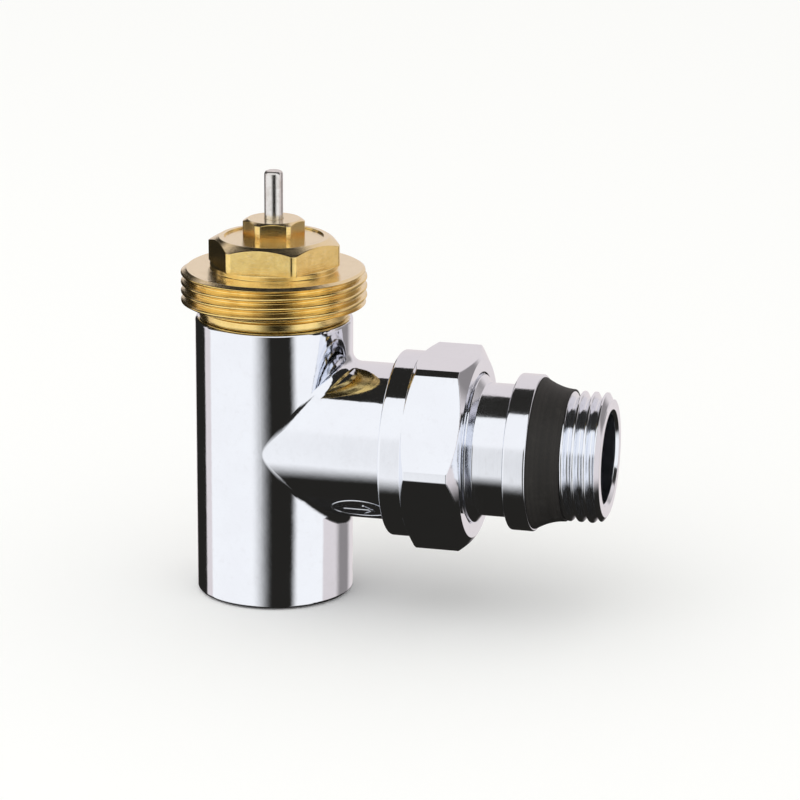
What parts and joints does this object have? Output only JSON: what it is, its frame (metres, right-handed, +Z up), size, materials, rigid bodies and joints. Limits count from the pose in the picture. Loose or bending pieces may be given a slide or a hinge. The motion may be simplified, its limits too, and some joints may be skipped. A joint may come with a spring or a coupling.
{
  "type": "thermostatic radiator valve",
  "caption": "Angle radiator valve body with brass head-thread insert, sprung spindle pin, union nut and self-sealing tailpiece.",
  "frame": {"origin": "centre of the inlet mouth, in the body's bottom face", "axes": "+Z up the body along the inlet, insert and spindle; +X out along the branch and tailpiece; +Y completes the frame"},
  "size_m": [0.0705, 0.0338, 0.0696],
  "materials": {
    "chrome": "polished chrome plate",
    "brass": "machined brass",
    "brass_inner": "machined brass",
    "steel": "ground stainless steel",
    "spring_steel": "drawn stainless wire",
    "black_rubber": "moulded EPDM rubber",
    "seal_rubber": "moulded EPDM O-ring"
  },
  "bodies": {
    "valve": {"valve_body": "chrome", "valve_insert": "brass", "insert_o_ring": "seal_rubber", "gland_nut": "brass", "gland_washer": "brass_inner", "gland_o_ring_lower": "seal_rubber", "gland_o_ring_upper": "seal_rubber", "guide_bush": "brass_inner", "bush_circlip": "spring_steel", "return_spring": "spring_steel"},
    "spindle": {"spindle_pin": "steel", "valve_stem": "brass_inner", "stem_o_ring": "seal_rubber", "stem_clip": "spring_steel", "spring_plate": "brass_inner", "disc_holder": "brass_inner", "sealing_disc": "black_rubber", "disc_washer": "brass_inner", "disc_nut": "brass_inner"},
    "tail": {"tailpiece": "chrome", "tailpiece_o_ring": "seal_rubber", "tail_seal": "black_rubber", "nut_snap_ring": "spring_steel"},
    "nut": {"union_nut": "chrome"}
  },
  "joints": [
    {"name": "pin_press", "type": "slide", "parent": "valve", "child": "spindle", "axis": [0, 0, -1], "range_m": [0, 0.0034], "stiffness_N_per_m": 6000, "springref_m": -0.004, "deforming": ["return_spring"]},
    {"name": "tail_draw", "type": "slide", "parent": "valve", "child": "tail", "axis": [1, 0, 0], "range_m": [0, 0.00725]},
    {"name": "nut_turn", "type": "hinge", "parent": "tail", "child": "nut", "pos_m": [0.0275, 0, 0.02606], "axis": [1, 0, 0], "range_deg": [0, 1440]}
  ],
  "couplings": [
    {"joint": "nut_turn", "follows": "tail_draw", "rad_per_m": 3463.7}
  ]
}
